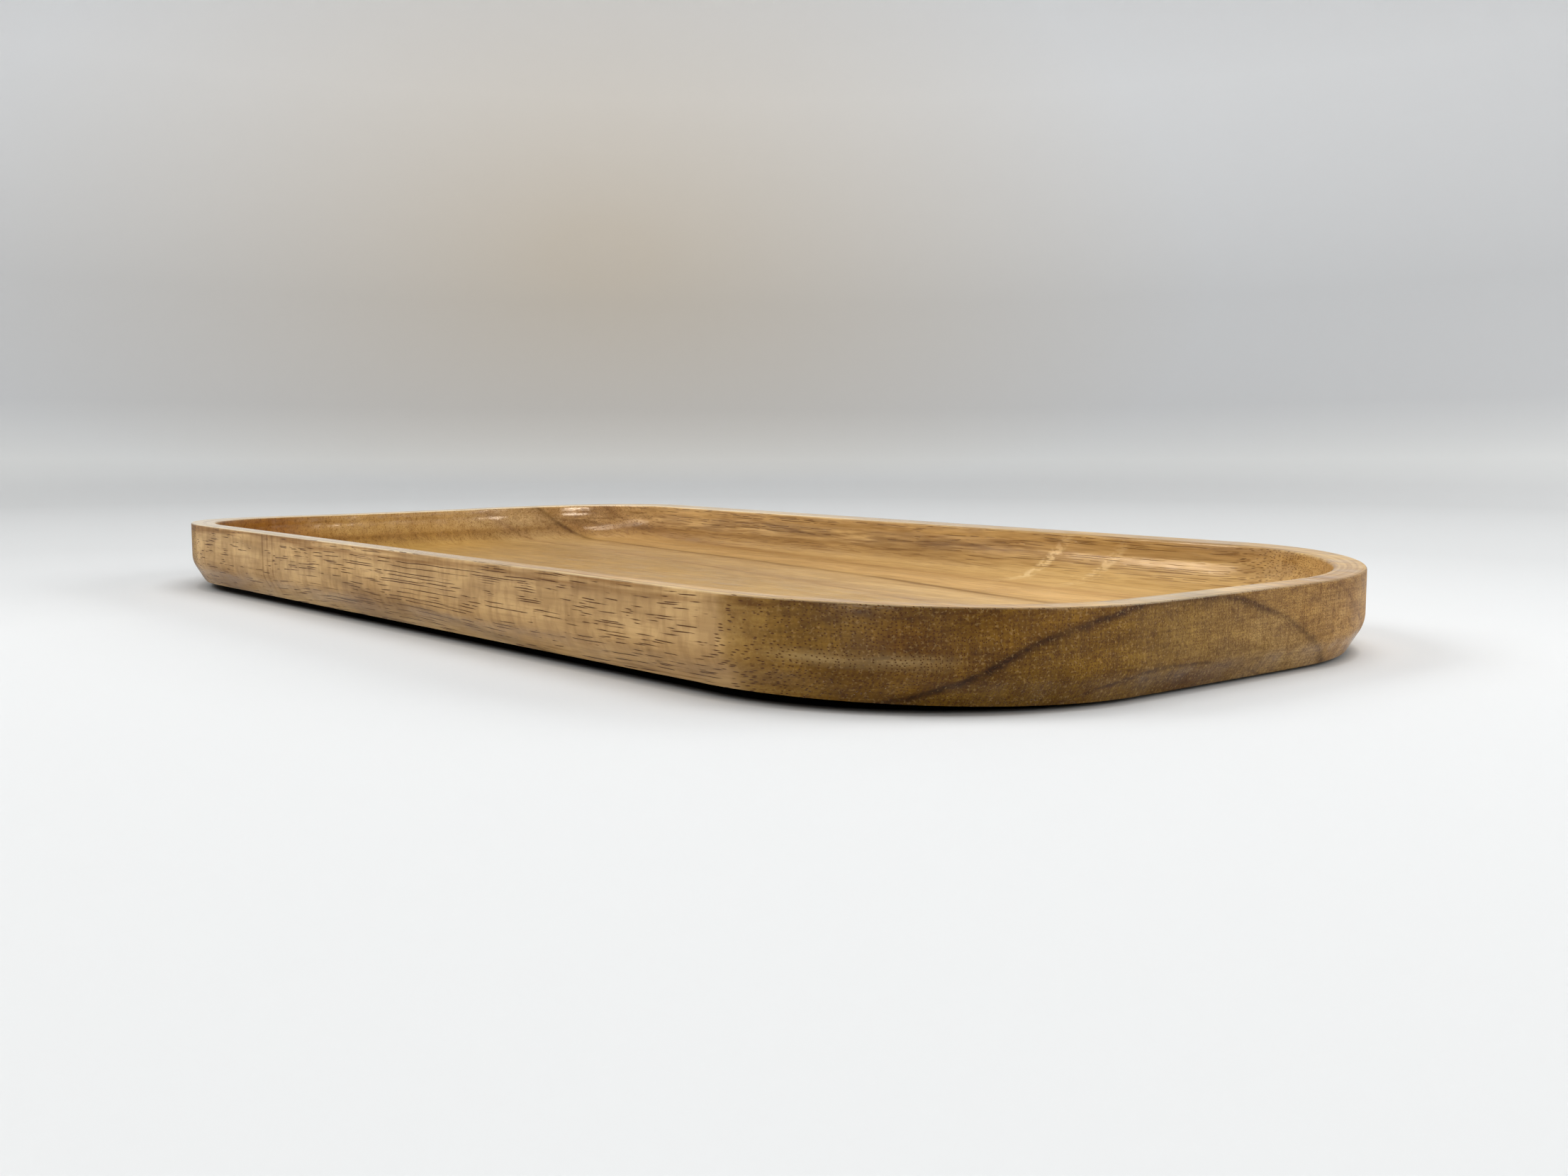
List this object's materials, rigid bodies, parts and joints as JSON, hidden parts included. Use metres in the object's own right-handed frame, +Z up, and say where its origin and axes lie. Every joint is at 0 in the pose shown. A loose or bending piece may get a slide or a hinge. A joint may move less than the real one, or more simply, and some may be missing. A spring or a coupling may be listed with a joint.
{
  "type": "serving tray",
  "caption": "Shallow rectangular wooden tray with round corners, a narrow flat rim, a coved well and a rounded lower edge, standing on thin round anti-slip pads.",
  "frame": {"origin": "under the middle of the tray, on the surface that its pads stand on", "axes": "+X along the tray and along the grain, +Y across it, +Z up"},
  "size_m": [0.3, 0.15, 0.017],
  "materials": {
    "lacquered_acacia": "flat-sawn acacia under a thin satin lacquer",
    "pad_rubber": "matt soft rubber"
  },
  "bodies": {
    "root": {"tray_body": "lacquered_acacia", "pad_front_left": "pad_rubber", "pad_front_right": "pad_rubber", "pad_rear_left": "pad_rubber", "pad_rear_right": "pad_rubber"}
  },
  "joints": []
}
